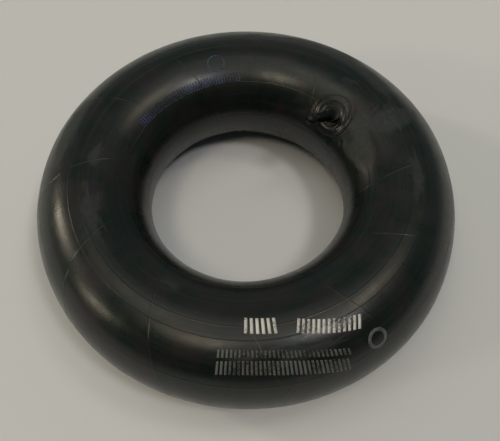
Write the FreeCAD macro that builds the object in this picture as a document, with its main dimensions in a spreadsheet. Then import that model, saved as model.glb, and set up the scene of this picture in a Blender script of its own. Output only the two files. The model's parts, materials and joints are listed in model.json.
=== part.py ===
import FreeCAD, Part
import math
import os
import re
import Sketcher

# Inner tube for a small tyre on a 10 inch rim, lying on its side, with a straight rubber valve and its cap.
# Millimetres and degrees. The origin is on the resting plane, on the ring's axis, and +Z points up.
# The valve's own frame has its origin on the tube's outer surface, at the middle of the pad, and its +Z
# runs out along the stem. Every height named below is measured along the stem from that origin.

SIZES = {
    # the ring
    "outer_diameter": 480.0,
    "section_diameter": 128.5,
    "wall_thickness": 2.0,
    "floor_flat_depth": 0.3,
    # where the valve stands on the ring, and how its stem leans
    "valve_ring_angle": 40.5,
    "valve_section_angle": 133.0,
    "stem_elevation": 27.0,
    "stem_sweep": -4.5,
    # the rubber pad bonded over the valve hole
    "pad_diameter": 50.0,
    "pad_thickness": 1.6,
    "pad_rim_thickness": 2.4,
    "pad_rim_width": 1.8,
    "pad_reach": 14.0,
    # the rubber stem
    "air_hole_radius": 1.5,
    "root_depth": 7.0,
    "root_radius": 11.5,
    "root_top": 9.5,
    "root_fillet": 6.0,
    "stem_radius": 5.6,
    "stem_shoulder": 28.0,
    "stem_end": 30.2,
    "stem_end_radius": 4.9,
    # the brass insert: cap thread outside (7.7 mm), core thread inside (5.2 mm)
    "insert_bottom": 4.0,
    "insert_radius": 3.3,
    "barb_radius": 3.9,
    "barb_height": 1.0,
    "barb_pitch": 3.0,
    "cap_thread_radius": 3.85,
    "cap_thread_bottom": 29.0,
    "cap_thread_pitch": 0.794,
    "stem_tip": 38.0,
    "tip_chamfer": 0.4,
    "core_thread_radius": 2.7,
    "core_thread_bottom": 30.5,
    "core_seat_bottom": 28.5,
    "chamber_radius": 2.25,
    "chamber_bottom": 14.0,
    "chamber_cone": 0.9,
    # the valve core
    "core_gap": 0.1,
    "plug_radius": 2.6,
    "plug_bottom": 32.7,
    "plug_thread_top": 35.4,
    "plug_top": 37.3,
    "plug_head_radius": 2.4,
    "plug_head_width": 2.4,
    "plug_bore_radius": 1.0,
    "plug_lip_radius": 1.75,
    "plug_lip_height": 0.3,
    "plug_recess_radius": 2.1,
    "plug_recess_height": 0.9,
    "barrel_radius": 1.95,
    "barrel_bore_radius": 1.35,
    "barrel_bottom": 21.5,
    "barrel_floor_height": 1.3,
    "barrel_floor_radius": 0.9,
    "barrel_neck_radius": 1.65,
    "gasket_slack": 0.06,
    "spring_wire_radius": 0.16,
    "spring_radius": 1.03,
    "spring_pitch": 0.9,
    "spring_slack": 0.04,
    "spring_seat_bottom": 29.5,
    "spring_seat_height": 1.0,
    "spring_seat_radius": 1.22,
    "spring_seat_wall": 0.25,
    "pin_radius": 0.6,
    "pin_top": 37.7,
    "pin_head_bottom": 19.4,
    "pin_head_radius": 0.95,
    "cup_bottom": 19.9,
    "cup_radius": 1.75,
    "cup_wall": 0.25,
    "cup_top": 21.1,
    "seal_radius": 1.5,
    "seal_slack": 0.05,
    # the screw cap and its sealing ring
    "cap_radius": 4.95,
    "cap_bottom": 30.6,
    "cap_top": 42.2,
    "cap_bore_radius": 4.0,
    "cap_hollow_radius": 3.0,
    "cap_hollow_top": 41.0,
    "cap_fillet": 1.1,
    "cap_grip_count": 20.0,
    "cap_grip_radius": 0.42,
    "cap_grip_top": 40.4,
    "washer_bottom": 38.05,
    "washer_thickness": 0.95,
    "washer_bore_radius": 2.8,
    "washer_slack": 0.05,
}

SHEET = "Sizes"
TOUCH = 1e-4

doc = FreeCAD.newDocument("inner_tube")
sub_parts = []


def make_sheet():
    """The spreadsheet that drives the document: one row for each size, with the size's name as its alias."""
    sheet = doc.addObject("Spreadsheet::Sheet", SHEET)
    for row, (name, value) in enumerate(SIZES.items(), start=1):
        sheet.set(f"A{row}", name)
        sheet.set(f"B{row}", str(value))
        sheet.setAlias(f"B{row}", name)
    doc.recompute()
    return sheet


sheet = make_sheet()


def linked(expression):
    """The expression with every size's name written as a reference to its cell."""
    def refer(word):
        return f"{SHEET}.{word[0]}" if word[0] in SIZES else word[0]

    return re.sub(r"[a-z][a-z_]+", refer, expression)


def size(expression):
    """What an expression of size names comes to, as a number."""
    return float(sheet.evalExpression(linked(expression)))


def bind(item, **expressions):
    """Tie properties of an object to the sheet."""
    for name, expression in expressions.items():
        item.setExpression(name, linked(expression))


def keep(item, label):
    """Name an object as a sub-part of the inner tube."""
    item.Label = label
    sub_parts.append(item)
    return item


def frame_at(point, direction):
    """A placement at a point, with its Z along a direction."""
    return FreeCAD.Placement(point, FreeCAD.Rotation(FreeCAD.Vector(0, 0, 1), direction))


# --- frames ---------------------------------------------------------------------------------------------

ring_height = size("section_diameter / 2 - floor_flat_depth")
ring_frame = FreeCAD.Placement(FreeCAD.Vector(0, 0, ring_height), FreeCAD.Rotation())


def valve_frames():
    """The pad's frame, with Z along the tube's own normal there, and the stem's, with Z along the stem."""
    around = math.radians(size("valve_ring_angle"))
    over = math.radians(size("valve_section_angle"))
    lift = math.radians(size("stem_elevation"))
    heading = around + math.pi + math.radians(size("stem_sweep"))
    outward = FreeCAD.Vector(math.cos(around), math.sin(around), 0)
    normal = outward * math.cos(over) + FreeCAD.Vector(0, 0, math.sin(over))
    middle = outward * size("(outer_diameter - section_diameter) / 2") + ring_frame.Base
    point = middle + normal * size("section_diameter / 2")
    along = FreeCAD.Vector(math.cos(lift) * math.cos(heading), math.cos(lift) * math.sin(heading), math.sin(lift))
    return frame_at(point, normal), frame_at(point, along)


pad_frame, stem_frame = valve_frames()


# --- makers ---------------------------------------------------------------------------------------------

def torus(name, section_radius):
    """A solid ring on the tube's centre line, with the given section radius."""
    ring = doc.addObject("Part::Torus", name)
    bind(ring, Radius1="(outer_diameter - section_diameter) / 2", Radius2=section_radius)
    ring.Placement = ring_frame
    return ring


def cylinder(name, frame, radius, below, above):
    """A cylinder about the frame's Z, from `below` under its origin to `above` over it."""
    rod = doc.addObject("Part::Cylinder", name)
    bind(rod, Radius=radius, Height=f"{below} + {above}")
    rod.Placement = frame * FreeCAD.Placement(FreeCAD.Vector(0, 0, -size(below)), FreeCAD.Rotation())
    return rod


def cut(name, base, *tools):
    """The base with each tool taken away in turn."""
    for number, tool in enumerate(tools):
        step = doc.addObject("Part::Cut", f"{name}_cut_{number}")
        step.Base = base
        step.Tool = tool
        base = step
    return base


def sketch_on(body, role, name):
    """A sketch lying on one of its own body's origin planes."""
    plane = next(item for item in body.Origin.OriginFeatures if item.Role == role)
    sketch = body.newObject("Sketcher::SketchObject", name)
    sketch.AttachmentSupport = [(plane, "")]
    sketch.MapMode = "FlatFace"
    return sketch


def place_point(sketch, line, kind, expression):
    """Hold a line's start at a signed distance from the sketch's origin, by an expression of sizes."""
    value = size(expression)
    if abs(value) < TOUCH:
        axis = -2 if kind == "DistanceX" else -1
        sketch.addConstraint(Sketcher.Constraint("PointOnObject", line, 1, axis))
        return
    ends = (-1, 1, line, 1) if value > 0 else (line, 1, -1, 1)
    index = sketch.addConstraint(Sketcher.Constraint(kind, *ends, abs(value)))
    signed = expression if value > 0 else f"-({expression})"
    sketch.setExpression(f"Constraints[{index}]", linked(signed))


def outline(sketch, corners):
    """A closed outline through corners, each a pair of expressions: across, then up."""
    points = [FreeCAD.Vector(size(across), size(up), 0) for across, up in corners]
    for number, point in enumerate(points):
        sketch.addGeometry(Part.LineSegment(point, points[(number + 1) % len(points)]), False)
    for number, (across, up) in enumerate(corners):
        following = (number + 1) % len(corners)
        sketch.addConstraint(Sketcher.Constraint("Coincident", number, 2, following, 1))
        place_point(sketch, number, "DistanceX", across)
        place_point(sketch, number, "DistanceY", up)


def turned(name, corners):
    """A body turned about the stem's axis from an outline of (radius, height) corners."""
    body = doc.addObject("PartDesign::Body", name)
    sketch = sketch_on(body, "XZ_Plane", f"{name}_outline")
    outline(sketch, corners)
    turn = body.newObject("PartDesign::Revolution", f"{name}_turn")
    turn.Profile = sketch
    turn.ReferenceAxis = (sketch, ["V_Axis"])
    turn.Angle = 360
    body.Placement = stem_frame
    doc.recompute()
    return body


def circle_edge(shape, radius, height):
    """The name of the round edge about the Z axis that has this radius and height."""
    for number, edge in enumerate(shape.Edges, start=1):
        curve = edge.Curve
        if isinstance(curve, Part.Circle) and abs(curve.Radius - size(radius)) < TOUCH:
            if abs(curve.Center.z - size(height)) < TOUCH:
                return f"Edge{number}"
    raise ValueError(f"no round edge of radius {radius} at height {height}")


def dress(body, kind, radius, height, **expressions):
    """Round (Fillet) or bevel (Chamfer) one round edge of a body, and make that the body's result."""
    base = body.Tip
    feature = body.newObject(f"PartDesign::{kind}", f"{body.Name}_{kind.lower()}")
    feature.Base = (base, [circle_edge(base.Shape, radius, height)])
    bind(feature, **expressions)
    body.Tip = feature
    doc.recompute()


# --- the ring and the valve's rubber ----------------------------------------------------------------------

def make_tube_body():
    """The hollow ring: flattened a little where it rests, and punched through under the valve."""
    ring = torus("ring", "section_diameter / 2")
    cavity = torus("cavity", "section_diameter / 2 - wall_thickness")
    floor = doc.addObject("Part::Box", "floor_block")
    bind(floor, Length="outer_diameter", Width="outer_diameter", Height="section_diameter")
    half = size("outer_diameter / 2")
    floor.Placement.Base = FreeCAD.Vector(-half, -half, -size("section_diameter"))
    hole = cylinder("wall_hole", stem_frame, "air_hole_radius", "root_depth", "root_depth")
    return keep(cut("tube_body", ring, cavity, floor, hole), "tube_body")


def make_pad():
    """The reinforcement disc: it follows the ring's surface and has a raised rim."""
    inner = "pad_diameter / 2 - pad_rim_width"
    disc = doc.addObject("Part::Common", "pad_disc")
    disc.Base = torus("pad_top", "section_diameter / 2 + pad_thickness")
    disc.Tool = cylinder("pad_blank", pad_frame, "pad_diameter / 2", "pad_reach", "pad_reach")
    rim_blank = cylinder("rim_blank", pad_frame, "pad_diameter / 2", "pad_reach", "pad_reach")
    rim_inside = cylinder("rim_inside", pad_frame, inner, "pad_reach", "pad_reach")
    rim = doc.addObject("Part::Common", "pad_rim")
    rim.Base = torus("rim_top", "section_diameter / 2 + pad_rim_thickness")
    rim.Tool = cut("rim_band", rim_blank, rim_inside)
    both = doc.addObject("Part::Fuse", "pad_both")
    both.Base = disc
    both.Tool = rim
    hole = cylinder("pad_hole", stem_frame, "air_hole_radius", "root_depth", "root_depth")
    under = torus("pad_under", "section_diameter / 2")
    return keep(cut("valve_pad", both, under, hole), "valve_pad")


def make_insert():
    """The brass tube in the stem: barbs hold it in the rubber, the core seals on the cone in its bore."""
    low_barb = "insert_bottom + barb_height"
    high_barb = "insert_bottom + barb_height + barb_pitch"
    body = turned("stem_insert", [
        ("air_hole_radius", "insert_bottom"),
        ("insert_radius", "insert_bottom"),
        ("insert_radius", low_barb),
        ("barb_radius", low_barb),
        ("insert_radius", f"{low_barb} + barb_height"),
        ("insert_radius", high_barb),
        ("barb_radius", high_barb),
        ("insert_radius", f"{high_barb} + barb_height"),
        ("insert_radius", "cap_thread_bottom"),
        ("cap_thread_radius", "cap_thread_bottom"),
        ("cap_thread_radius", "stem_tip"),
        ("core_thread_radius", "stem_tip"),
        ("core_thread_radius", "core_thread_bottom"),
        ("chamber_radius", "core_seat_bottom"),
        ("chamber_radius", "chamber_bottom"),
        ("air_hole_radius", "chamber_bottom - chamber_cone"),
    ])
    dress(body, "Chamfer", "cap_thread_radius", "stem_tip", Size="tip_chamfer")
    return keep(body, "stem_insert")


def make_stem(insert):
    """The rubber stem: its flared root sits on the pad, and it is moulded round the insert."""
    sleeve = "(insert_radius + core_thread_radius) / 2"
    body = turned("stem_blank", [
        ("air_hole_radius", "-root_depth"),
        ("root_radius", "-root_depth"),
        ("root_radius", "0"),
        ("stem_radius", "root_top"),
        ("stem_radius", "stem_shoulder"),
        ("stem_end_radius", "stem_end"),
        (sleeve, "stem_end"),
        (sleeve, "insert_bottom"),
        ("air_hole_radius", "insert_bottom"),
    ])
    dress(body, "Fillet", "stem_radius", "root_top", Radius="root_fillet")
    pad_top = torus("stem_seat", "section_diameter / 2 + pad_thickness")
    return keep(cut("stem_rubber", body, pad_top, insert), "stem_rubber")


# --- the valve core ---------------------------------------------------------------------------------------

def make_plug():
    """The threaded swivel plug: its lip holds the barrel's flange, and two flats on its head take the key."""
    body = turned("core_screw_plug", [
        ("plug_lip_radius", "plug_bottom"),
        ("plug_radius", "plug_bottom"),
        ("plug_radius", "plug_thread_top"),
        ("plug_head_radius", "plug_thread_top"),
        ("plug_head_radius", "plug_top"),
        ("plug_bore_radius", "plug_top"),
        ("plug_bore_radius", "plug_bottom + plug_recess_height"),
        ("plug_recess_radius", "plug_bottom + plug_recess_height"),
        ("plug_recess_radius", "plug_bottom + plug_lip_height"),
        ("plug_lip_radius", "plug_bottom + plug_lip_height"),
    ])
    for side in (1, -1):
        flats = sketch_on(body, "XZ_Plane", f"plug_flat_{'left' if side < 0 else 'right'}")
        near = f"{side} * plug_head_width / 2"
        far = f"{side} * (plug_head_radius + core_gap)"
        outline(flats, [
            (near, "plug_thread_top"),
            (far, "plug_thread_top"),
            (far, "plug_top + core_gap"),
            (near, "plug_top + core_gap"),
        ])
        pocket = body.newObject("PartDesign::Pocket", f"{flats.Name}_pocket")
        pocket.Profile = flats
        pocket.SideType = "Symmetric"
        bind(pocket, Length="4 * plug_head_radius")
        doc.recompute()
    return keep(body, "core_screw_plug")


def make_barrel():
    """The barrel: its flange swivels in the plug, its floor carries the spring and is the valve's seat."""
    floor_top = "barrel_bottom + barrel_floor_height"
    flange_bottom = "plug_bottom + plug_lip_height + core_gap"
    flange_top = "plug_bottom + plug_recess_height - core_gap"
    return keep(turned("core_barrel", [
        ("barrel_floor_radius", "barrel_bottom"),
        ("barrel_radius", "barrel_bottom"),
        ("barrel_radius", "plug_bottom - core_gap"),
        ("barrel_neck_radius", "plug_bottom - core_gap"),
        ("barrel_neck_radius", flange_bottom),
        ("barrel_radius", flange_bottom),
        ("barrel_radius", flange_top),
        ("barrel_bore_radius", flange_top),
        ("barrel_bore_radius", floor_top),
        ("barrel_floor_radius", floor_top),
    ]), "core_barrel")


def make_gasket():
    """The ring on the barrel that seals on the insert's cone."""
    return keep(turned("core_gasket", [
        ("barrel_radius", "core_seat_bottom"),
        ("chamber_radius - gasket_slack", "core_seat_bottom"),
        ("core_thread_radius - gasket_slack", "core_thread_bottom"),
        ("barrel_radius", "core_thread_bottom"),
    ]), "core_gasket")


def make_spring():
    """The coil spring between the barrel's floor and the seat on the pin."""
    body = doc.addObject("PartDesign::Body", "core_spring")
    wire = sketch_on(body, "XZ_Plane", "spring_wire")
    foot = "barrel_bottom + barrel_floor_height + spring_slack + spring_wire_radius"
    centre = FreeCAD.Vector(size("spring_radius"), size(foot), 0)
    wire.addGeometry(Part.Circle(centre, FreeCAD.Vector(0, 0, 1), size("spring_wire_radius")), False)
    across = wire.addConstraint(Sketcher.Constraint("DistanceX", -1, 1, 0, 3, centre.x))
    up = wire.addConstraint(Sketcher.Constraint("DistanceY", -1, 1, 0, 3, centre.y))
    thick = wire.addConstraint(Sketcher.Constraint("Radius", 0, size("spring_wire_radius")))
    wire.setExpression(f"Constraints[{across}]", linked("spring_radius"))
    wire.setExpression(f"Constraints[{up}]", linked(foot))
    wire.setExpression(f"Constraints[{thick}]", linked("spring_wire_radius"))
    coil = body.newObject("PartDesign::AdditiveHelix", "spring_coil")
    coil.Profile = wire
    coil.ReferenceAxis = (wire, ["V_Axis"])
    coil.Mode = "pitch-height-angle"
    bind(coil, Pitch="spring_pitch", Height=f"spring_seat_bottom - spring_slack - spring_wire_radius - ({foot})")
    body.Placement = stem_frame
    doc.recompute()
    return keep(body, "core_spring")


def make_spring_seat():
    """The small cup, fixed on the pin, whose rim holds the spring's top turn."""
    top = "spring_seat_bottom + spring_seat_height"
    return keep(turned("spring_seat", [
        ("pin_radius", "spring_seat_bottom"),
        ("spring_seat_radius", "spring_seat_bottom"),
        ("spring_seat_radius", "spring_seat_bottom + spring_seat_wall"),
        ("pin_radius + spring_seat_wall", "spring_seat_bottom + spring_seat_wall"),
        ("pin_radius + spring_seat_wall", top),
        ("pin_radius", top),
    ]), "spring_seat")


def make_pin():
    """The valve pin, riveted over under the cup."""
    return keep(turned("valve_pin", [
        ("0", "pin_head_bottom"),
        ("pin_head_radius", "pin_head_bottom"),
        ("pin_head_radius", "cup_bottom"),
        ("pin_radius", "cup_bottom"),
        ("pin_radius", "pin_top"),
        ("0", "pin_top"),
    ]), "valve_pin")


def make_cup():
    """The brass cup on the pin that holds the rubber seal."""
    return keep(turned("pin_cup", [
        ("pin_radius", "cup_bottom"),
        ("cup_radius", "cup_bottom"),
        ("cup_radius", "cup_top"),
        ("seal_radius", "cup_top"),
        ("seal_radius", "cup_bottom + cup_wall"),
        ("pin_radius", "cup_bottom + cup_wall"),
    ]), "pin_cup")


def make_seal():
    """The rubber disc in the cup, which closes against the barrel's floor."""
    return keep(turned("cup_seal", [
        ("pin_radius", "cup_bottom + cup_wall"),
        ("seal_radius", "cup_bottom + cup_wall"),
        ("seal_radius", "barrel_bottom - seal_slack"),
        ("pin_radius", "barrel_bottom - seal_slack"),
    ]), "cup_seal")


# --- the cap ----------------------------------------------------------------------------------------------

def make_cap():
    """The screw cap: a closed dome with grip flutes round its side, and a hollow over the core."""
    washer_top = "washer_bottom + washer_thickness + washer_slack"
    body = turned("cap_shell", [
        ("cap_bore_radius", "cap_bottom"),
        ("cap_radius", "cap_bottom"),
        ("cap_radius", "cap_top"),
        ("0", "cap_top"),
        ("0", "cap_hollow_top"),
        ("cap_hollow_radius", "cap_hollow_top"),
        ("cap_hollow_radius", washer_top),
        ("cap_bore_radius", washer_top),
    ])
    dress(body, "Fillet", "cap_radius", "cap_top", Radius="cap_fillet")
    flute = sketch_on(body, "XY_Plane", "cap_flute")
    centre = FreeCAD.Vector(size("cap_radius"), 0, 0)
    flute.addGeometry(Part.Circle(centre, FreeCAD.Vector(0, 0, 1), size("cap_grip_radius")), False)
    flute.addConstraint(Sketcher.Constraint("PointOnObject", 0, 3, -1))
    out = flute.addConstraint(Sketcher.Constraint("DistanceX", -1, 1, 0, 3, centre.x))
    wide = flute.addConstraint(Sketcher.Constraint("Radius", 0, size("cap_grip_radius")))
    flute.setExpression(f"Constraints[{out}]", linked("cap_radius"))
    flute.setExpression(f"Constraints[{wide}]", linked("cap_grip_radius"))
    pocket = body.newObject("PartDesign::Pocket", "cap_flute_pocket")
    pocket.Profile = flute
    pocket.Reversed = True
    bind(pocket, Length="cap_grip_top")
    doc.recompute()
    ring = body.newObject("PartDesign::PolarPattern", "cap_flutes")
    ring.Originals = [pocket]
    ring.Axis = (flute, ["N_Axis"])
    ring.Angle = 360
    bind(ring, Occurrences="cap_grip_count")
    body.Tip = ring
    doc.recompute()
    return keep(body, "cap_shell")


def make_washer():
    """The rubber ring that the cap presses on the stem's tip."""
    top = "washer_bottom + washer_thickness"
    outer = "cap_bore_radius - washer_slack"
    return keep(turned("cap_washer", [
        ("washer_bore_radius", "washer_bottom"),
        (outer, "washer_bottom"),
        (outer, top),
        ("washer_bore_radius", top),
    ]), "cap_washer")


# --- build, check and write -------------------------------------------------------------------------------

def check_document():
    """Stop if any object failed to compute, or any sub-part isn't one valid solid."""
    failed = [item.Name for item in doc.Objects if {"Invalid", "Error"} & set(item.State)]
    if failed:
        raise RuntimeError(f"objects that failed: {failed}")
    for item in sub_parts:
        shape = item.Shape
        if shape.isNull() or not shape.isValid() or len(shape.Solids) != 1:
            raise RuntimeError(f"{item.Label} is not one valid solid")


def write_parts():
    """Write each sub-part to its own file, and print its volume and box."""
    os.makedirs("parts", exist_ok=True)
    for item in sub_parts:
        item.Shape.exportStep(f"parts/{item.Label}.step")
        box = item.Shape.BoundBox
        low = tuple(round(value, 2) for value in (box.XMin, box.YMin, box.ZMin))
        high = tuple(round(value, 2) for value in (box.XMax, box.YMax, box.ZMax))
        print(f"{item.Label:18s} {item.Shape.Volume:12.2f} mm3  {low} {high}")


make_tube_body()
make_pad()
insert = make_insert()
make_stem(insert)
make_plug()
make_barrel()
make_gasket()
make_spring()
make_spring_seat()
make_pin()
make_cup()
make_seal()
make_cap()
make_washer()
doc.recompute()
check_document()
write_parts()
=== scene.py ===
import json
import math

import bmesh
import bpy
import numpy as np
from mathutils import Matrix, Vector


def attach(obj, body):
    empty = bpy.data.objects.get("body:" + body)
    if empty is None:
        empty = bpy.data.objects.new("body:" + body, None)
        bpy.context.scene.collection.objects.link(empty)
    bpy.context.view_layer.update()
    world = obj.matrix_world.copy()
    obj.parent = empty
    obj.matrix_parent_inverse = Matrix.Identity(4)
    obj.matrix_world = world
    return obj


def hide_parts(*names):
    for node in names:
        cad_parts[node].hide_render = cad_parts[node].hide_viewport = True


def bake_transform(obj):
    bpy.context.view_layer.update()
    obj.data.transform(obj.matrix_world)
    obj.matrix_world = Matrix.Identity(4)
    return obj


# Looks for an inflated inner tube that lies on its side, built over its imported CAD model.
#
# Lengths are in metres and angles in degrees. A place on the tube is given by two angles: ring, round the
# hole from +X towards +Y, and section, round the tube's own section from its outer side (0) over its crown
# (90) to its inner side (180).

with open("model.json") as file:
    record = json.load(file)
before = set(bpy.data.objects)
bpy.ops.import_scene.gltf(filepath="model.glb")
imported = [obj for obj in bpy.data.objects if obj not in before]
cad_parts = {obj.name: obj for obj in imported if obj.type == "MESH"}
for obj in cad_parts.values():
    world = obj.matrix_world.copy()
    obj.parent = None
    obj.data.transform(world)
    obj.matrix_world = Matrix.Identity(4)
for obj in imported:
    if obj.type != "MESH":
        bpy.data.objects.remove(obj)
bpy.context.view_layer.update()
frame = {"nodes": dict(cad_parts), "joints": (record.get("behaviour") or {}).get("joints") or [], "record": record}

MM = 0.001

MOUNTS = {mount["name"]: mount for mount in frame["record"]["mounts"]}
JOINTS = {joint["name"]: joint for joint in frame["joints"]}

# The ring: its centre line, its section, and the height of its middle plane.
RING_RADIUS = MOUNTS["rest_face"]["pos_m"][0]
SECTION_RADIUS = MOUNTS["tyre_seat"]["pos_m"][0] - RING_RADIUS
RING_HEIGHT = MOUNTS["tyre_seat"]["pos_m"][2]
WALL = 2.0 * MM

# The valve: the point of the skin under its stem, and the stem's axis.
STEM_MOUNT_HEIGHT = 19.6 * MM
STEM_AXIS = np.array(JOINTS["cap_travel"]["axis"])
VALVE_POINT = np.array(MOUNTS["valve_stem"]["pos_m"]) - STEM_MOUNT_HEIGHT * STEM_AXIS
VALVE_RING = math.degrees(math.atan2(VALVE_POINT[1], VALVE_POINT[0]))
VALVE_SECTION = math.degrees(math.atan2(
    VALVE_POINT[2] - RING_HEIGHT,
    math.hypot(VALVE_POINT[0], VALVE_POINT[1]) - RING_RADIUS,
))
PAD_RADIUS = 25.0 * MM


# --- shapes ---------------------------------------------------------------------------------------------

def wrapped(angle):
    """An angle brought between -180 and 180 degrees."""
    return (angle + 180.0) % 360.0 - 180.0


def smooth_step(low, high, value):
    """0 below low, 1 above high, and a smooth rise between them."""
    share = np.clip((value - low) / (high - low), 0.0, 1.0)
    return share * share * (3.0 - 2.0 * share)


def bump_at(value, width):
    """A bell of height 1 at value 0."""
    return np.exp(-(value / width) ** 2)


def face_outwards(mesh):
    """Turns the faces of every closed part of a mesh to look outwards."""
    shape = bmesh.new()
    shape.from_mesh(mesh)
    bmesh.ops.recalc_face_normals(shape, faces=shape.faces)
    shape.to_mesh(mesh)
    shape.free()


def new_object(name, vertices, faces, material, sharp_angle=None, hollow=False):
    """A smooth mesh object. Edges that turn more than sharp_angle stay sharp."""
    mesh = bpy.data.meshes.new(name)
    mesh.from_pydata([tuple(point) for point in vertices], [], faces)
    if not hollow:
        face_outwards(mesh)
    mesh.materials.append(material)
    mesh.shade_smooth()
    if sharp_angle is not None:
        mesh.set_sharp_from_angle(angle=math.radians(sharp_angle))
    mesh.update()
    piece = bpy.data.objects.new(name, mesh)
    bpy.context.scene.collection.objects.link(piece)
    return piece


def grid_faces(rows, columns, close_rows=False, close_columns=False, first=0, flip=False):
    """Four-sided faces between the neighbours in a grid of rows x columns points."""
    faces = []
    for row in range(rows if close_rows else rows - 1):
        for column in range(columns if close_columns else columns - 1):
            next_row = (row + 1) % rows
            next_column = (column + 1) % columns
            face = [
                first + row * columns + column,
                first + row * columns + next_column,
                first + next_row * columns + next_column,
                first + next_row * columns + column,
            ]
            faces.append(face[::-1] if flip else face)
    return faces


def lathe_faces(rows, columns):
    """Faces of a closed turned solid: rows of points round an axis, shut by a flat face at each end."""
    faces = grid_faces(rows, columns, close_columns=True)
    faces.append(list(reversed(range(columns))))
    faces.append([(rows - 1) * columns + column for column in range(columns)])
    return faces


def rounded(profile, radius, steps=4):
    """A profile of (radius, height) points with each inner corner cut round, for a moulded edge."""
    points = [np.array(point, float) for point in profile]
    smooth = [points[0]]
    for before, corner, after in zip(points, points[1:], points[2:]):
        reach = [min(radius, 0.45 * np.linalg.norm(side - corner)) for side in (before, after)]
        start = corner + (before - corner) / np.linalg.norm(before - corner) * reach[0]
        end = corner + (after - corner) / np.linalg.norm(after - corner) * reach[1]
        for share in np.linspace(0.0, 1.0, steps):
            smooth.append((1 - share) ** 2 * start + 2 * share * (1 - share) * corner + share ** 2 * end)
    smooth.append(points[-1])
    return np.array(smooth)


# --- the tube's skin ------------------------------------------------------------------------------------

# The mould's vent lines stand proud of the skin: some cross the section, leaning a little, and some run
# round the ring.
RIB_HEIGHT = 0.15 * MM
CROSS_RIB_LEAN = -0.15
CROSS_RIB_ROUNDING = 0.985
CROSS_RIB_WIDTH = 0.13
CROSS_RIBS = (-153.5, -121.5, -90.0, -58.0, -27.3, 1.0, 30.0, 60.5, 88.5, 118.0, 146.6, 176.8)
HOOP_RIB_WIDTH = 0.33
HOOP_RIBS = (-168.0, -130.0, -86.0, -74.5, -32.0, 32.0, 74.5, 86.0, 130.0, 168.0)

# Puckers where the stiff valve pad gathers the stretched skin:
# ring and section of the middle, heading from the ring's direction, then length, width and depth.
PUCKERS = (
    (26.0, 133.0, 35.0, 13 * MM, 3.4 * MM, 0.15 * MM),
    (18.0, 127.0, 75.0, 8 * MM, 2.2 * MM, 0.18 * MM),
    (16.0, 129.0, 15.0, 9 * MM, 2.4 * MM, 0.16 * MM),
    (33.5, 155.0, 100.0, 6 * MM, 2.4 * MM, 0.5 * MM),
    (25.5, 149.0, 130.0, 6 * MM, 2.4 * MM, 0.3 * MM),
    (58.0, 146.0, 25.0, 12 * MM, 4.5 * MM, 0.25 * MM),
)


def lean(section):
    """How far a cross rib has moved round the ring at this section angle. It turns back under the tube."""
    climb = np.sin(np.radians(section - 90.0))
    return CROSS_RIB_LEAN * np.degrees(np.arcsin(CROSS_RIB_ROUNDING * climb))


def skin_offset(ring, section, centre):
    """Distances along the ring and along the section from centre, another (ring, section) place."""
    reach = RING_RADIUS + SECTION_RADIUS * np.cos(np.radians(section))
    along_ring = np.radians(wrapped(ring - centre[0])) * reach
    along_section = np.radians(wrapped(section - centre[1])) * SECTION_RADIUS
    return along_ring, along_section


def skin_place(along_ring, along_section, centre):
    """The (ring, section) place at these distances from centre: skin_offset the other way round."""
    section = centre[1] + np.degrees(along_section / SECTION_RADIUS)
    reach = RING_RADIUS + SECTION_RADIUS * np.cos(np.radians(section))
    return centre[0] + np.degrees(along_ring / reach), section


def valve_distance(ring, section):
    """Distance along the skin from the point under the stem."""
    return np.hypot(*skin_offset(ring, section, (VALVE_RING, VALVE_SECTION)))


def ribs(ring, section):
    """Height of the vent lines, from 0 to 1."""
    height = np.zeros_like(ring)
    for place in CROSS_RIBS:
        height = np.maximum(height, bump_at(wrapped(ring - lean(section) - place), CROSS_RIB_WIDTH))
    for place in HOOP_RIBS:
        height = np.maximum(height, bump_at(wrapped(section - place), HOOP_RIB_WIDTH))
    return height * smooth_step(PAD_RADIUS, PAD_RADIUS + 4 * MM, valve_distance(ring, section))


def puckers(ring, section):
    """Depth of the folds round the valve pad."""
    depth = np.zeros_like(ring)
    for place_ring, place_section, heading, length, width, deep in PUCKERS:
        x, y = skin_offset(ring, section, (place_ring, place_section))
        turn = math.radians(heading)
        along = x * math.cos(turn) + y * math.sin(turn)
        across = y * math.cos(turn) - x * math.sin(turn)
        fold = bump_at(across, width) - 0.5 * bump_at(np.abs(across) - 1.6 * width, width)
        depth = depth + deep * fold * bump_at(along, length)
    distance = valve_distance(ring, section)
    edge_dip = 0.2 * MM * bump_at(distance - PAD_RADIUS - 2 * MM, 3 * MM)
    edge_swell = 0.15 * MM * bump_at(distance - PAD_RADIUS - 12 * MM, 8 * MM)
    return (depth + edge_dip - edge_swell) * smooth_step(PAD_RADIUS - 3 * MM, PAD_RADIUS + 2 * MM, distance)


def unevenness(ring, section):
    """The slow swells of a tube that isn't quite evenly stretched: thinner on its right, fuller in front,
    and drawn in a little low down on the far side of the hole."""
    u = np.radians(ring)
    v = np.radians(section)
    swell = (
        0.35 * np.sin(3 * u + 0.7) * np.sin(v + 0.4)
        + 0.30 * np.sin(5 * u - 1.1 + 1.5 * np.sin(v)) * np.cos(2 * v)
        + 0.16 * np.sin(9 * u + 2.3 * np.cos(v)) * np.sin(3 * v + 1.0)
        + 0.08 * np.sin(17 * u + 3.1) * np.sin(5 * v - 0.6)
    )
    fullness = 1.5 * bump_at(wrapped(ring + 68.0), 26.0) - 1.6 * bump_at(wrapped(ring + 6.0), 24.0)
    drawn_in = 3.2 * bump_at(wrapped(ring - 106.0), 24.0) * bump_at(wrapped(section - 212.0), 34.0)
    fullness = fullness - drawn_in
    away = smooth_step(0.0, 3 * PAD_RADIUS, valve_distance(ring, section))
    return (0.9 * swell + fullness) * MM * away


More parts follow.
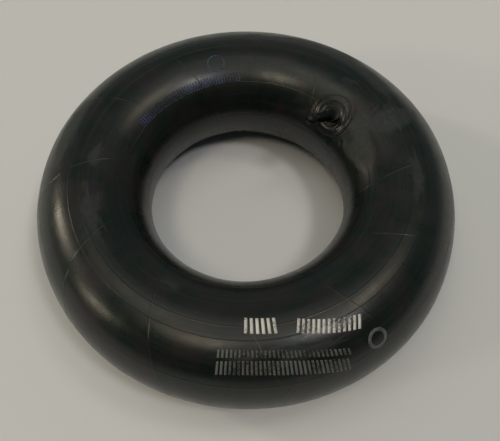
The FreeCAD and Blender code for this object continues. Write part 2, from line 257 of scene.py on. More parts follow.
def skin_points(ring, section, lift=0.0):
    """Points of the tube's outer skin, or lift above it. The foot is pressed flat on the floor."""
    radius = SECTION_RADIUS + RIB_HEIGHT * ribs(ring, section) - puckers(ring, section)
    radius = radius + unevenness(ring, section) + lift
    u = np.radians(ring)
    v = np.radians(section)
    reach = RING_RADIUS + radius * np.cos(v)
    height = np.maximum(RING_HEIGHT + radius * np.sin(v), 0.0)
    return np.stack([reach * np.cos(u), reach * np.sin(u), height], axis=-1)


def skin_normals(ring, section, step=0.02):
    """Unit normals of the outer skin, from points a small step to either side."""
    along_ring = skin_points(ring + step, section) - skin_points(ring - step, section)
    along_section = skin_points(ring, section + step) - skin_points(ring, section - step)
    normals = np.cross(along_ring, along_section)
    return normals / np.linalg.norm(normals, axis=-1, keepdims=True)


def loops(step, ridges, ridge_width, fine_low, fine_high, fine_step):
    """Angles for the mesh's loops: even steps, finer steps in one stretch, and a set on each ridge."""
    even = np.arange(-180.0, 180.0, step)
    outside = (even < fine_low) | (even > fine_high)
    plain = np.concatenate([even[outside], np.arange(fine_low, fine_high, fine_step)])
    offsets = ridge_width * np.array([-2.4, -1.7, -1.1, -0.55, 0.0, 0.55, 1.1, 1.7, 2.4])
    nearest = np.min(np.abs(wrapped(plain[:, None] - np.array(ridges))), axis=1)
    plain = plain[nearest > 3.2 * ridge_width]
    on_ridges = (np.array(ridges)[:, None] + offsets).ravel()
    return np.unique(np.round(wrapped(np.concatenate([plain, on_ridges])), 4))


def add_skin_attributes(mesh, ring, section):
    """Stores what the rubber's material reads: a flat map of the skin in metres, and where it is dusty."""
    u = np.radians(ring)
    flow = np.stack([
        RING_RADIUS * np.cos(u),
        RING_RADIUS * np.sin(u),
        SECTION_RADIUS * np.radians(section),
    ], axis=-1)
    mesh.attributes.new("flow", "FLOAT_VECTOR", "POINT").data.foreach_set("vector", flow.ravel())
    mesh.attributes.new("dust", "FLOAT", "POINT").data.foreach_set("value", dust(ring, section).ravel())


# Where talc and handling have left the rubber bluish grey: ring, section, length and width of each patch.
DUST_PATCHES = (
    (22.0, 84.0, 13 * MM, 30 * MM, 1.0),
    (38.0, 72.0, 40 * MM, 14 * MM, 0.6),
    (163.0, 54.0, 36 * MM, 13 * MM, 1.0),
    (173.0, 97.0, 16 * MM, 7 * MM, 0.7),
    (60.0, 61.0, 55 * MM, 12 * MM, 0.7),
    (-5.0, 82.0, 40 * MM, 9 * MM, 0.45),
    (-119.0, 112.0, 16 * MM, 10 * MM, 0.5),
    (28.0, 112.0, 9 * MM, 9 * MM, 0.6),
    (19.0, 134.0, 26 * MM, 15 * MM, 0.9),
    (100.0, 70.0, 90 * MM, 12 * MM, 0.45),
    (-160.0, 98.0, 50 * MM, 18 * MM, 0.35),
    (-75.0, 60.0, 60 * MM, 22 * MM, 0.3),
)


def dust(ring, section):
    """How dusty each place is, from 0 to 1."""
    amount = 0.12 * np.ones_like(ring)
    for place_ring, place_section, length, width, strength in DUST_PATCHES:
        x, y = skin_offset(ring, section, (place_ring, place_section))
        amount = amount + strength * bump_at(x, length) * bump_at(y, width)
    return np.clip(amount, 0.0, 1.0)


def make_skin(material):
    """The tube itself: the outer skin and, inside it, the smooth wall of the air space."""
    ring_loops = loops(3.0, CROSS_RIBS, CROSS_RIB_WIDTH, 14.0, 74.0, 0.85)
    section_loops = loops(4.0, HOOP_RIBS, HOOP_RIB_WIDTH, 96.0, 172.0, 1.3)
    sheared, section = np.meshgrid(ring_loops, section_loops, indexing="ij")
    ring = sheared + lean(section)
    outer = skin_points(ring, section).reshape(-1, 3)
    faces = grid_faces(len(ring_loops), len(section_loops), close_rows=True, close_columns=True, flip=True)

    inner_ring, inner_section = np.meshgrid(
        np.arange(0.0, 360.0, 4.0), np.arange(0.0, 360.0, 8.0), indexing="ij"
    )
    u = np.radians(inner_ring)
    v = np.radians(inner_section)
    bore = SECTION_RADIUS - WALL
    reach = RING_RADIUS + bore * np.cos(v)
    inner = np.stack([reach * np.cos(u), reach * np.sin(u), RING_HEIGHT + bore * np.sin(v)], axis=-1)
    faces += grid_faces(*inner_ring.shape, close_rows=True, close_columns=True, first=len(outer))
    vertices = np.concatenate([outer, inner.reshape(-1, 3)])
    skin = new_object("tube_skin", vertices, faces, material, hollow=True)
    inward = -np.stack([np.cos(v) * np.cos(u), np.cos(v) * np.sin(u), np.sin(v)], axis=-1)
    normals = np.concatenate([skin_normals(ring, section).reshape(-1, 3), inward.reshape(-1, 3)])
    skin.data.normals_split_custom_set_from_vertices(normals)
    add_skin_attributes(
        skin.data,
        np.concatenate([ring.ravel(), inner_ring.ravel()]),
        np.concatenate([section.ravel(), inner_section.ravel()]),
    )
    return skin


# --- the printed marks ----------------------------------------------------------------------------------

# How far the ink reaches above and below the skin, the size of its mesh's faces, and the share of each
# bar's pitch that the bar fills.
INK_LIFT = 0.14 * MM
INK_STEP = 1.3 * MM
BAR_SHARE = 0.55


def ink_slab(corners, start, end, bow=0.0):
    """A thin slab of ink on the skin: the share from start to end of the patch whose corners are
    (ring, section) places. The patch bows up the section in the middle by bow degrees, as a stamp held
    straight does."""
    top_left, top_right, bottom_right, bottom_left = [np.array(corner, float) for corner in corners]
    length = math.hypot(*skin_offset(*top_right, top_left)) * (end - start)
    height = math.hypot(*skin_offset(*bottom_left, top_left))
    across = np.linspace(start, end, max(2, round(length / INK_STEP) + 1))
    down = np.linspace(0.0, 1.0, max(2, round(height / INK_STEP) + 1))
    s, t = [axis[..., None] for axis in np.meshgrid(across, down, indexing="ij")]
    place = (1 - s) * (1 - t) * top_left + s * (1 - t) * top_right
    place = place + s * t * bottom_right + (1 - s) * t * bottom_left
    return slab(place[..., 0], place[..., 1] + bow * 4 * (s * (1 - s))[..., 0])


def slab(ring, section, close_columns=False):
    """Vertices and faces of a closed slab that follows the skin over a grid of places."""
    rows, columns = ring.shape
    top = skin_points(ring, section, INK_LIFT).reshape(-1, 3)
    bottom = skin_points(ring, section, -INK_LIFT).reshape(-1, 3)
    faces = grid_faces(rows, columns, close_columns=close_columns)
    faces += grid_faces(rows, columns, close_columns=close_columns, first=len(top), flip=True)
    rims = [[(row, column) for column in range(columns)] for row in (0, rows - 1)]
    if not close_columns:
        edge = [(0, column) for column in range(columns)]
        edge += [(row, columns - 1) for row in range(1, rows)]
        edge += [(rows - 1, column) for column in reversed(range(columns - 1))]
        edge += [(row, 0) for row in reversed(range(1, rows - 1))]
        rims = [edge]
    for number, rim in enumerate(rims):
        indices = [row * columns + column for row, column in rim]
        for index, following in zip(indices, indices[1:] + indices[:1]):
            face = [following, index, index + len(top), following + len(top)]
            faces.append(face[::-1] if number else face)
    return np.concatenate([top, bottom]), faces


def joined(parts):
    """Vertices and faces of several closed parts as one mesh."""
    vertices = []
    faces = []
    for part_vertices, part_faces in parts:
        first = sum(len(block) for block in vertices)
        vertices.append(part_vertices)
        faces += [[first + index for index in face] for face in part_faces]
    return np.concatenate(vertices), faces


def print_row(name, corners, pitch, material, bow=0.0):
    """A printed row of plain bars, all alike and evenly spaced along the whole of it."""
    top_left, top_right = [np.array(corner, float) for corner in corners[:2]]
    count = round(math.hypot(*skin_offset(*top_right, top_left)) / pitch)
    parts = [
        ink_slab(corners, number / count, (number + BAR_SHARE) / count, bow)
        for number in range(count)
    ]
    return new_object(name, *joined(parts), material)


def print_ring(centre, outer, inner):
    """Vertices and faces of a plain printed ring."""
    radii = np.linspace(inner, outer, 3)
    turns = np.radians(np.arange(0.0, 360.0, 7.5))
    radius, turn = np.meshgrid(radii, turns, indexing="ij")
    ring, section = skin_place(radius * np.cos(turn), radius * np.sin(turn), centre)
    return slab(ring, section, close_columns=True)


# --- the valve ------------------------------------------------------------------------------------------

VALVE_SIDES = 96
TURNS = np.radians(np.arange(VALVE_SIDES) * 360.0 / VALVE_SIDES)


def stem_basis():
    """Two directions across the stem: the first lies along the ring as nearly as it can."""
    along_ring = np.array([-math.sin(math.radians(VALVE_RING)), math.cos(math.radians(VALVE_RING)), 0.0])
    first = along_ring - STEM_AXIS * (along_ring @ STEM_AXIS)
    first /= np.linalg.norm(first)
    return first, np.cross(STEM_AXIS, first)


STEM_X, STEM_Y = stem_basis()


def stem_points(radius, turn, height):
    """Points round the stem's axis, at heights above the skin."""
    values = np.broadcast_arrays(radius, turn, height)
    radius, turn, height = [np.asarray(value)[..., None] for value in values]
    across = np.cos(turn) * STEM_X + np.sin(turn) * STEM_Y
    return VALVE_POINT + radius * across + height * STEM_AXIS


def pad_points(radius, turn, height):
    """Points of a disc that lies on the skin round the valve, at heights above it."""
    ring, section = skin_place(
        radius * np.cos(turn), -radius * np.sin(turn), (VALVE_RING, VALVE_SECTION)
    )
    u = np.radians(ring)
    v = np.radians(section)
    reach = RING_RADIUS + (SECTION_RADIUS + height) * np.cos(v)
    z = RING_HEIGHT + (SECTION_RADIUS + height) * np.sin(v)
    return np.stack([reach * np.cos(u), reach * np.sin(u), z], axis=-1)


def make_pad(material):
    """The round rubber pad: a thin edge, a raised ring halfway in, and a boss under the stem's root."""
    profile = rounded(np.array([
        (2.0, -1.0), (25.3, -1.0), (25.0, 0.4), (24.4, 1.0), (23.6, 1.15), (22.4, 1.0), (20.6, 1.05),
        (19.0, 1.35), (17.4, 1.55), (15.8, 1.35), (14.4, 1.2), (13.2, 1.4), (12.2, 2.1), (11.5, 2.5),
        (2.0, 2.6),
    ]) * MM, 1.2 * MM)
    radius, turn = np.meshgrid(profile[:, 0], TURNS, indexing="ij")
    height = np.broadcast_to(profile[:, 1:], radius.shape)
    vertices = pad_points(radius, turn, height).reshape(-1, 3)
    return new_object("valve_pad_disc", vertices, lathe_faces(len(profile), VALVE_SIDES), material)


def make_stem(material):
    """The rubber stem: a flared root that grows out of the pad and leans over into the straight stem."""
    root = [
        (11.6, 1.2), (11.2, 2.6), (10.6, 3.6), (9.4, 4.9), (8.2, 6.4), (7.2, 8.2), (6.4, 10.4),
        (5.85, 13.0),
    ]
    shaft = [
        (5.62, 16.0), (5.6, 18.0), (5.75, 18.4), (5.75, 19.0), (5.6, 19.4), (5.6, 27.5), (5.3, 28.3),
        (4.95, 28.6), (4.9, 30.0), (4.5, 30.2),
    ]
    bore = [(3.25, 30.2), (3.25, 12.0), (1.0, 12.0)]
    profile = rounded(np.array(root + shaft + bore) * MM, 0.6 * MM, steps=3)
    radius, turn = np.meshgrid(profile[:, 0], TURNS, indexing="ij")
    height = np.broadcast_to(profile[:, 1:], radius.shape)
    share = smooth_step(1.0 * MM, 11.0 * MM, height)[..., None]
    points = (1 - share) * pad_points(radius, turn, height) + share * stem_points(radius, turn, height)
    faces = lathe_faces(len(profile), VALVE_SIDES)
    return new_object("stem_sleeve", points.reshape(-1, 3), faces, material)


def make_insert(material):
    """The brass tube in the stem, with its rolled cap thread."""
    thread_low, thread_high, pitch = 29.2 * MM, 37.5 * MM, 0.794 * MM
    crest, root = 3.85 * MM, 3.42 * MM
    heights = np.arange(thread_low, thread_high, pitch / 8)
    outside = [(3.3 * MM, 12.0 * MM), (3.3 * MM, 29.0 * MM)]
    outside += [(crest, height) for height in heights]
    outside += [(3.5 * MM, 37.95 * MM), (3.4 * MM, 38.0 * MM), (2.8 * MM, 38.0 * MM)]
    inside = [(2.7 * MM, 37.9 * MM), (2.7 * MM, 30.5 * MM), (2.25 * MM, 28.5 * MM), (2.25 * MM, 12.0 * MM)]
    profile = np.array(outside + inside)
    radius, turn = np.meshgrid(profile[:, 0], TURNS, indexing="ij")
    height = np.broadcast_to(profile[:, 1:], radius.shape)
    phase = (height / pitch - turn / (2 * math.pi)) % 1.0
    groove = smooth_step(0.12, 0.5, np.abs(2.0 * phase - 1.0))
    run_in = smooth_step(thread_low, thread_low + pitch, height)
    run_out = 1.0 - smooth_step(thread_high - pitch / 2, thread_high, height)
    threaded = np.isclose(radius, crest)
    radius = np.where(threaded, crest - (crest - root) * groove * run_in * run_out, radius)
    vertices = stem_points(radius, turn, height).reshape(-1, 3)
    faces = grid_faces(len(profile), VALVE_SIDES, close_rows=True, close_columns=True)
    return new_object("stem_thread", vertices, faces, material, sharp_angle=50)


def make_cap(material):
    """The screw cap: fluted sides, a plain collar at the mouth, and a domed top with a moulded ring."""
    grips, grip_depth = 20, 0.42 * MM
    columns = grips * 10
    side_low, side_high, outer = 31.7 * MM, 40.3 * MM, 4.95 * MM
    profile = rounded(np.array([
        (0.6, 40.95), (3.0, 40.95), (3.0, 39.05), (4.0, 39.05), (4.0, 31.0), (4.2, 30.6),
        (4.75, 30.6), (4.95, 30.8), (4.95, 31.5), (4.95, 32.3), (4.95, 34.0), (4.95, 36.0),
        (4.95, 38.0), (4.95, 39.6), (4.95, 40.5), (4.6, 41.4), (3.9, 41.95), (3.1, 42.1),
        (2.9, 41.95), (2.3, 41.95), (2.1, 42.15), (0.6, 42.2),
    ]) * MM, 0.35 * MM)
    turns = np.radians(np.arange(columns) * 360.0 / columns)
    radius, turn = np.meshgrid(profile[:, 0], turns, indexing="ij")
    height = np.broadcast_to(profile[:, 1:], radius.shape)
    flute = np.maximum(0.0, 1.0 - (np.abs(np.cos(turn * grips / 2)) / 0.62) ** 2)
    reach = smooth_step(side_low, side_low + 0.8 * MM, height)
    reach = reach * (1.0 - smooth_step(side_high - 0.6 * MM, side_high + 0.4 * MM, height))
    on_side = radius > outer - 0.05 * MM
    radius = radius - grip_depth * flute * reach * on_side
    vertices = stem_points(radius, turn, height).reshape(-1, 3)
    faces = lathe_faces(len(profile), columns)
    return new_object("cap_body", vertices, faces, material, sharp_angle=60)


# Heights of the spring's ends above the skin, along the stem.
COIL_LOW, COIL_HIGH = 23.0 * MM, 29.3 * MM


def make_coil(material):
    """The valve spring, wound between the floor of the core's barrel and the seat on the pin."""
    windings, coil_radius, wire_radius = 7, 1.03 * MM, 0.16 * MM
    wound, round_wire = np.meshgrid(np.linspace(0.0, 1.0, windings * 24 + 1), TURNS[::8], indexing="ij")
    radius = coil_radius + wire_radius * np.cos(round_wire)
    height = COIL_LOW + (COIL_HIGH - COIL_LOW) * wound + wire_radius * np.sin(round_wire)
    vertices = stem_points(radius, 2 * math.pi * windings * wound, height).reshape(-1, 3)
    return new_object("core_spring_coil", vertices, lathe_faces(*wound.shape), material)


# --- materials ------------------------------------------------------------------------------------------

class Shader:
    """A material and its node tree, with short calls for the nodes that are used here."""

    def __init__(self, name, **surface):
        self.material = bpy.data.materials.new(name)
        self.material.use_nodes = True
        self.tree = self.material.node_tree
        self.surface = self.tree.nodes["Principled BSDF"]
        for socket, value in surface.items():
            self.surface.inputs[socket.replace("_", " ")].default_value = value

    def node(self, kind, links=None, values=None, **settings):
        """A new node, with its settings, the values of its sockets, and links into its sockets."""
        node = self.tree.nodes.new("ShaderNode" + kind)
        for setting, value in settings.items():
            setattr(node, setting, value)
        for socket, value in (values or {}).items():
            node.inputs[socket].default_value = value
        for socket, source in (links or {}).items():
            self.tree.links.new(source, node.inputs[socket])
        return node

    def set(self, socket, source):
        """Links a socket of the surface to its source."""
        self.tree.links.new(source, self.surface.inputs[socket])

    def place(self):
        """The object's own coordinates in metres."""
        return self.node("TexCoord").outputs["Object"]

    def flow(self, stretch):
        """The flat map of the skin, stretched to make streaks along it or across it."""
        source = self.node("Attribute", attribute_name="flow").outputs["Vector"]
        return self.node("Mapping", {"Vector": source}, {"Scale": stretch}).outputs["Vector"]

    def noise(self, scale, detail=3.0, rough=0.5, twist=0.0, place=None):
        """Clouds with about scale blobs to the metre."""
        values = {"Scale": scale, "Detail": detail, "Roughness": rough, "Distortion": twist}
        return self.node("TexNoise", {"Vector": place or self.place()}, values).outputs["Fac"]

    def ramp(self, source, *stops):
        """source turned into colours or greys, by (position, value) stops."""
        node = self.node("ValToRGB", {"Fac": source})
        elements = node.color_ramp.elements
        while len(elements) < len(stops):
            elements.new(0.5)
        for element, (position, value) in zip(elements, stops):
            element.position = position
            element.color = (*value, 1.0) if isinstance(value, tuple) else (value, value, value, 1.0)
        return node.outputs["Color"]

    def mix(self, share, first, second):
        """Two colours mixed by share."""
        node = self.node("Mix", data_type="RGBA")
        for socket, value in ((0, share), (6, first), (7, second)):
            if isinstance(value, bpy.types.NodeSocket):
                self.tree.links.new(value, node.inputs[socket])
            else:
                node.inputs[socket].default_value = (*value, 1.0) if isinstance(value, tuple) else value
        return node.outputs[2]

    def maths(self, operation, first, second):
        """One sum on two numbers, either of which may be a socket."""
        node = self.node("Math", operation=operation)
        for socket, value in enumerate((first, second)):
            if isinstance(value, bpy.types.NodeSocket):
                self.tree.links.new(value, node.inputs[socket])
            else:
                node.inputs[socket].default_value = value
        return node.outputs[0]

    def bump(self, height, distance, strength=1.0, under=None):
        """A normal that leans with height, over the normal from under."""
        links = {"Height": height}
        if under is not None:
            links["Normal"] = under
        values = {"Distance": distance, "Strength": strength}
        return self.node("Bump", links, values).outputs["Normal"]


def butyl():
    """Black butyl with a brown, green and blue mottle, talc dust, streaks round the ring and brush marks
    across it, and a fine moulded grain."""
    shader = Shader("butyl_rubber")
    mottle = shader.noise(26.0, detail=5.0, rough=0.62, twist=0.6)
    colour = shader.ramp(
        mottle, (0.34, (0.0018, 0.0095, 0.0062)), (0.50, (0.0066, 0.0106, 0.0084)),
        (0.58, (0.0140, 0.0112, 0.0092)), (0.70, (0.0080, 0.0128, 0.0170)),
    )
    hoops = shader.noise(1.0, detail=4.0, rough=0.6, place=shader.flow((7.0, 7.0, 300.0)))
    colour = shader.mix(shader.ramp(hoops, (0.48, 0.0), (0.72, 0.55)), colour, (0.022, 0.024, 0.022))
    dusty = shader.node("Attribute", attribute_name="dust").outputs["Fac"]
    smears = shader.noise(1.0, detail=6.0, rough=0.65, twist=0.5, place=shader.flow((16.0, 16.0, 60.0)))
    edge = shader.maths("ADD", shader.maths("MULTIPLY", dusty, 0.62), shader.maths("MULTIPLY", smears, 0.9))
    matt = shader.ramp(edge, (0.66, 0.0), (0.74, 0.45), (0.95, 1.0))
    thin = shader.noise(170.0, detail=4.0, rough=0.7)
    cover = shader.maths("MULTIPLY", matt, shader.ramp(thin, (0.30, 0.30), (0.65, 1.0)))
    colour = shader.mix(shader.maths("MULTIPLY", cover, 0.8), colour, (0.040, 0.049, 0.049))
    shader.set("Base Color", colour)

    haze = shader.noise(26.0, detail=5.0, rough=0.6)
    brushed = shader.noise(1.0, detail=4.0, rough=0.6, place=shader.flow((90.0, 90.0, 14.0)))
    rough = shader.maths("ADD", shader.ramp(haze, (0.32, 0.15), (0.70, 0.25)),
                         shader.ramp(brushed, (0.34, 0.08), (0.66, 0.13)))
    rough = shader.maths("ADD", rough, shader.maths("MULTIPLY", matt, 0.35))
    shader.set("Roughness", rough)

    grain = shader.bump(shader.noise(1500.0, detail=2.0), 0.03 * MM, 0.6)
    peel = shader.bump(shader.noise(190.0, detail=2.0), 0.10 * MM, 0.5, grain)
    scratches = shader.noise(1.0, detail=2.0, place=shader.flow((60.0, 60.0, 1400.0)))
    scored = shader.bump(shader.ramp(scratches, (0.66, 0.0), (0.74, 1.0)), 0.05 * MM, 0.4, peel)
    shader.set("Normal", scored)
    return shader.material


def moulded_rubber(name, colour, rough, shine=0.5):
    """Smooth black moulded rubber, a little dusty in patches."""
    shader = Shader(name, Specular_IOR_Level=shine)
    clouds = shader.noise(160.0, detail=5.0, rough=0.6)
    dusty = tuple(channel * 1.8 + 0.001 for channel in colour)
    shader.set("Base Color", shader.mix(shader.ramp(clouds, (0.45, 0.0), (0.80, 0.7)), colour, dusty))
    shader.set("Roughness", shader.ramp(clouds, (0.30, rough - 0.06), (0.75, rough + 0.14)))
    shader.set("Normal", shader.bump(shader.noise(2600.0, detail=2.0), 0.02 * MM, 0.2))
    return shader.material


def cap_plastic():
    """Black moulded plastic with rubbed, slightly paler grips."""
    shader = Shader("cap_black_plastic", Specular_IOR_Level=0.5)
    clouds = shader.noise(420.0, detail=4.0)
    black, rubbed = (0.004, 0.004, 0.0045), (0.011, 0.011, 0.012)
    shader.set("Base Color", shader.ramp(clouds, (0.35, black), (0.75, rubbed)))
    shader.set("Roughness", shader.ramp(clouds, (0.30, 0.20), (0.75, 0.36)))
    shader.set("Normal", shader.bump(shader.noise(3000.0, detail=1.0), 0.01 * MM, 0.5))
    return shader.material


def metal(name, bright, dull, rough, turned_lines):
    """Machined metal: fine lines from turning, and a dull bloom in patches."""
    shader = Shader(name, Metallic=1.0)
    bloom = shader.noise(600.0, detail=5.0, rough=0.65)
    shader.set("Base Color", shader.ramp(bloom, (0.35, bright), (0.70, dull)))
    shader.set("Roughness", shader.ramp(bloom, (0.30, rough), (0.75, rough + 0.2)))
    lines = shader.noise(turned_lines, detail=1.0)
    shader.set("Normal", shader.bump(lines, 0.01 * MM, 0.5))
    return shader.material


def ptfe():
    """The core's red sealing ring, waxy and slightly uneven."""
    shader = Shader("core_red_seal", Specular_IOR_Level=0.4)
    clouds = shader.noise(900.0, detail=3.0)
    shader.set("Base Color", shader.ramp(clouds, (0.3, (0.42, 0.035, 0.022)), (0.7, (0.60, 0.070, 0.045))))
    shader.set("Roughness", shader.ramp(clouds, (0.3, 0.38), (0.7, 0.52)))
    return shader.material


def ink(name, colour, wear, worn_colour=(0.012, 0.013, 0.012)):
    """Printed ink that has rubbed away in specks, more of it the higher wear is."""
    shader = Shader(name, Specular_IOR_Level=0.45)
    specks = shader.noise(520.0, detail=4.0, rough=0.65)
    patches = shader.noise(45.0, detail=3.0)
    small, large = shader.maths("MULTIPLY", specks, 0.6), shader.maths("MULTIPLY", patches, 0.4)
    worn = shader.maths("ADD", small, large)
    edge = 0.62 - 0.22 * wear
    gone = shader.ramp(worn, (edge - 0.05, 0.0), (edge + 0.05, 1.0))
    faded = tuple(0.6 * channel for channel in colour)
    tone = shader.ramp(patches, (0.35, colour), (0.70, faded))
    shader.set("Base Color", shader.mix(gone, tone, worn_colour))
    shader.set("Roughness", shader.ramp(specks, (0.3, 0.36), (0.7, 0.48)))
    return shader.material


def pale_floor():
    """A plain pale floor: matt white paper, the same all over."""
    shader = Shader("studio_floor", Specular_IOR_Level=0.1, Roughness=0.9)
    shader.surface.inputs["Base Color"].default_value = (0.87, 0.88, 0.89, 1.0)
    return shader.material


# --- the object -----------------------------------------------------------------------------------------

BUTYL = butyl()
VALVE_RUBBER = moulded_rubber("valve_black_rubber", (0.0012, 0.0014, 0.0012), 0.18, 0.32)
PAD_RUBBER = moulded_rubber("valve_pad_rubber", (0.0090, 0.0100, 0.0082), 0.25)
SEAL_RUBBER = moulded_rubber("seal_black_rubber", (0.020, 0.020, 0.020), 0.55)
BRASS = metal("valve_brass", (0.66, 0.46, 0.19), (0.40, 0.25, 0.10), 0.22, 2500.0)
SPRING_STEEL = metal("spring_wire", (0.56, 0.56, 0.57), (0.38, 0.38, 0.39), 0.25, 4000.0)
PTFE = ptfe()
WHITE_INK = ink("print_white", (0.88, 0.87, 0.82), 0.22)
GREY_INK = ink("print_grey", (0.150, 0.155, 0.147), 0.36)
BLUE_INK = ink("print_blue", (0.060, 0.090, 0.190), 0.50)


def add(piece, body, slot, *replaced):
    """Puts a finished piece on its CAD body."""
    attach(piece, body)
    if replaced:
        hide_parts(*replaced)


def add_prints():
    """The printed marks: plain even bars and plain rings, which follow no lettering and no badge."""
    white_left = ((-91.0, 94.0), (-80.5, 92.0), (-80.5, 78.5), (-91.0, 80.5))
    white_right = ((-74.5, 87.5), (-56.0, 68.5), (-58.0, 58.0), (-76.0, 76.0))
    grey_small = ((-98.0, 66.0), (-63.0, 47.5), (-63.0, 41.5), (-98.0, 59.0))
    grey_large = ((-98.0, 56.0), (-64.0, 39.0), (-64.0, 25.5), (-98.0, 44.0))
    blue_row = ((93.0, 120.0), (151.0, 121.0), (151.0, 130.0), (93.0, 130.0))
    white_pitch, grey_pitch, blue_pitch = 5.2 * MM, 4.4 * MM, 3.6 * MM
    prints = [
        print_row("print_size_short", white_left, white_pitch, WHITE_INK),
        print_row("print_size_long", white_right, white_pitch, WHITE_INK),
        print_row("print_line_small", grey_small, grey_pitch, GREY_INK, 7.7),
        print_row("print_line_large", grey_large, grey_pitch, GREY_INK, 8.2),
        print_row("print_batch_row", blue_row, blue_pitch, BLUE_INK),
        new_object("print_grey_ring", *print_ring((-55.5, 42.0), 11 * MM, 7.5 * MM), GREY_INK),
        new_object("print_blue_ring", *print_ring((103.3, 106.6), 10.8 * MM, 9.0 * MM), BLUE_INK),
    ]
    for piece in prints:
        add(piece, "tube", "butyl")


def add_coil():
    """Builds the valve spring's coil in place and hides the CAD spring that it replaces."""
    coil = make_coil(SPRING_STEEL)
    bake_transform(coil)
    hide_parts("core_spring")


def add_cad_materials():
    """Gives the CAD nodes that stay in view their finished materials."""
    finishes = {
        BRASS: ("core_screw_plug", "core_barrel", "spring_seat", "valve_pin", "pin_cup"),
        PTFE: ("core_gasket",),
        SEAL_RUBBER: ("cup_seal", "cap_washer"),
    }
    for material, names in finishes.items():
        for name in names:
            for material_slot in frame["nodes"][name].material_slots:
                material_slot.material = material


add(make_skin(BUTYL), "tube", "butyl", "tube_body")
add(make_pad(PAD_RUBBER), "tube", "valve_rubber", "valve_pad")
add(make_stem(VALVE_RUBBER), "tube", "valve_rubber", "stem_rubber")
add(make_insert(BRASS), "tube", "brass", "stem_insert")
add(make_cap(cap_plastic()), "cap", "cap_plastic", "cap_shell")
add_coil()
add_prints()
add_cad_materials()


# --- the studio -----------------------------------------------------------------------------------------

RING_CENTRE = Vector((0.0, 0.0, RING_HEIGHT))
FLOOR_RADIUS = 14.0
FLOOR_GAP = 0.2 * MM

DAYLIGHT = (1.0, 0.97, 0.95)
LAMPLIGHT = (1.0, 0.87, 0.65)
LAMP_DISTANCE = 2.4

# Name, azimuth, elevation, size, strength and colour of each lamp.
LAMPS = (
    ("overhead", 0.0, 89.0, 2.00, 0.28, DAYLIGHT),
    ("ceiling_right", -30.0, 65.0, 0.36, 0.38, DAYLIGHT),
    ("ceiling_front", -127.0, 66.0, 0.55, 0.31, LAMPLIGHT),
    ("ceiling_back_right", 18.0, 64.0, 0.45, 0.17, LAMPLIGHT),
    ("ceiling_back_left", 155.0, 68.0, 0.90, 0.12, LAMPLIGHT),
    ("low_left", 163.0, 23.0, 0.24, 0.41, LAMPLIGHT),
    ("low_left_front", -163.0, 24.0, 0.34, 0.26, LAMPLIGHT),
    ("left", 180.0, 33.0, 0.90, 0.05, DAYLIGHT),
    ("horizon_back", 90.0, 20.0, 1.60, 0.02, DAYLIGHT),
)

# The world's strength rises from its front to its back, between these levels of a direction's Y.
WORLD_COLOUR = (0.82, 1.0, 1.0, 1.0)
WORLD_FRONT, WORLD_BACK = -0.8, 0.4
WORLD_DIM, WORLD_BRIGHT = 0.015, 0.15
BACKDROP_COLOUR = (0.80, 0.81, 0.82, 1.0)

# The camera's place and the point that it looks at, both from the ring's centre, and its roll in degrees.
CAMERA_PLACE = Vector((0.0, -0.3909, 0.6547))
CAMERA_AIM = Vector((0.0035, -0.0290, 0.0))
CAMERA_ROLL = 0.22
LENS_MM, SENSOR_MM = 46.92, 36.0


def soft_lamp(name, azimuth, elevation, size, strength, colour):
    """A soft light from far away, so that the whole floor is lit alike. It gives strength watts to the
    square metre, and looks as large as a square box of that size (in metres) at LAMP_DISTANCE would.
    Azimuth turns from +X towards +Y."""
    turn = math.radians(azimuth)
    climb = math.radians(elevation)
    towards = Vector((math.cos(climb) * math.cos(turn), math.cos(climb) * math.sin(turn), math.sin(climb)))
    lamp = bpy.data.lights.new(name, "SUN")
    lamp.angle = 2 * math.atan(size / (math.sqrt(math.pi) * LAMP_DISTANCE))
    lamp.energy = strength
    lamp.color = colour
    light = bpy.data.objects.new(name, lamp)
    light.location = RING_CENTRE + towards * LAMP_DISTANCE
    light.rotation_euler = towards.to_track_quat("Z", "Y").to_euler()
    bpy.context.scene.collection.objects.link(light)


def make_floor():
    """A round floor, large enough to reach the horizon in a low view."""
    corners = [
        (FLOOR_RADIUS * math.cos(turn), FLOOR_RADIUS * math.sin(turn), 0.0)
        for turn in np.radians(np.arange(0.0, 360.0, 5.0))
    ]
    floor = new_object("studio_floor", corners, [list(range(len(corners)))], pale_floor())
    floor.location.z = -FLOOR_GAP


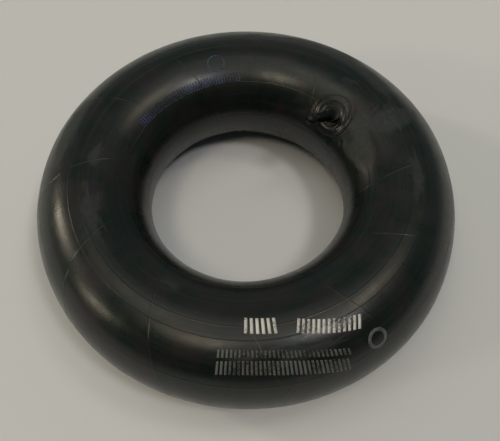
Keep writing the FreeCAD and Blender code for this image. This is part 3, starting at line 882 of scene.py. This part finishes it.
def make_world():
    """Dim surroundings for the reflections, darker towards the front, with a pale backdrop where the
    camera sees past the floor."""
    world = bpy.data.worlds.new("studio")
    world.use_nodes = True
    nodes = world.node_tree.nodes
    links = world.node_tree.links
    dim = nodes["Background"]
    dim.inputs["Color"].default_value = WORLD_COLOUR
    direction = nodes.new("ShaderNodeTexCoord")
    axes = nodes.new("ShaderNodeSeparateXYZ")
    shade = nodes.new("ShaderNodeMapRange")
    shade.inputs["From Min"].default_value = WORLD_FRONT
    shade.inputs["From Max"].default_value = WORLD_BACK
    shade.inputs["To Min"].default_value = WORLD_DIM
    shade.inputs["To Max"].default_value = WORLD_BRIGHT
    links.new(direction.outputs["Generated"], axes.inputs[0])
    links.new(axes.outputs["Y"], shade.inputs["Value"])
    links.new(shade.outputs["Result"], dim.inputs["Strength"])
    backdrop = nodes.new("ShaderNodeBackground")
    backdrop.inputs["Color"].default_value = BACKDROP_COLOUR
    path = nodes.new("ShaderNodeLightPath")
    choice = nodes.new("ShaderNodeMixShader")
    links.new(path.outputs["Is Camera Ray"], choice.inputs[0])
    links.new(dim.outputs[0], choice.inputs[1])
    links.new(backdrop.outputs[0], choice.inputs[2])
    links.new(choice.outputs[0], nodes["World Output"].inputs["Surface"])
    bpy.context.scene.world = world


def make_camera():
    """The camera looks down at the ring from the -Y side."""
    data = bpy.data.cameras.new("camera")
    data.lens = LENS_MM
    data.sensor_width = SENSOR_MM
    camera = bpy.data.objects.new("camera", data)
    camera.location = RING_CENTRE + CAMERA_PLACE
    aim = RING_CENTRE + CAMERA_AIM
    roll = Matrix.Rotation(math.radians(CAMERA_ROLL), 4, "Z")
    facing = (aim - camera.location).to_track_quat("-Z", "Y").to_matrix().to_4x4()
    camera.rotation_euler = (facing @ roll).to_euler()
    bpy.context.scene.collection.objects.link(camera)
    bpy.context.scene.camera = camera


make_floor()
make_world()
for lamp_settings in LAMPS:
    soft_lamp(*lamp_settings)
make_camera()
bpy.context.scene.view_settings.view_transform = "Standard"
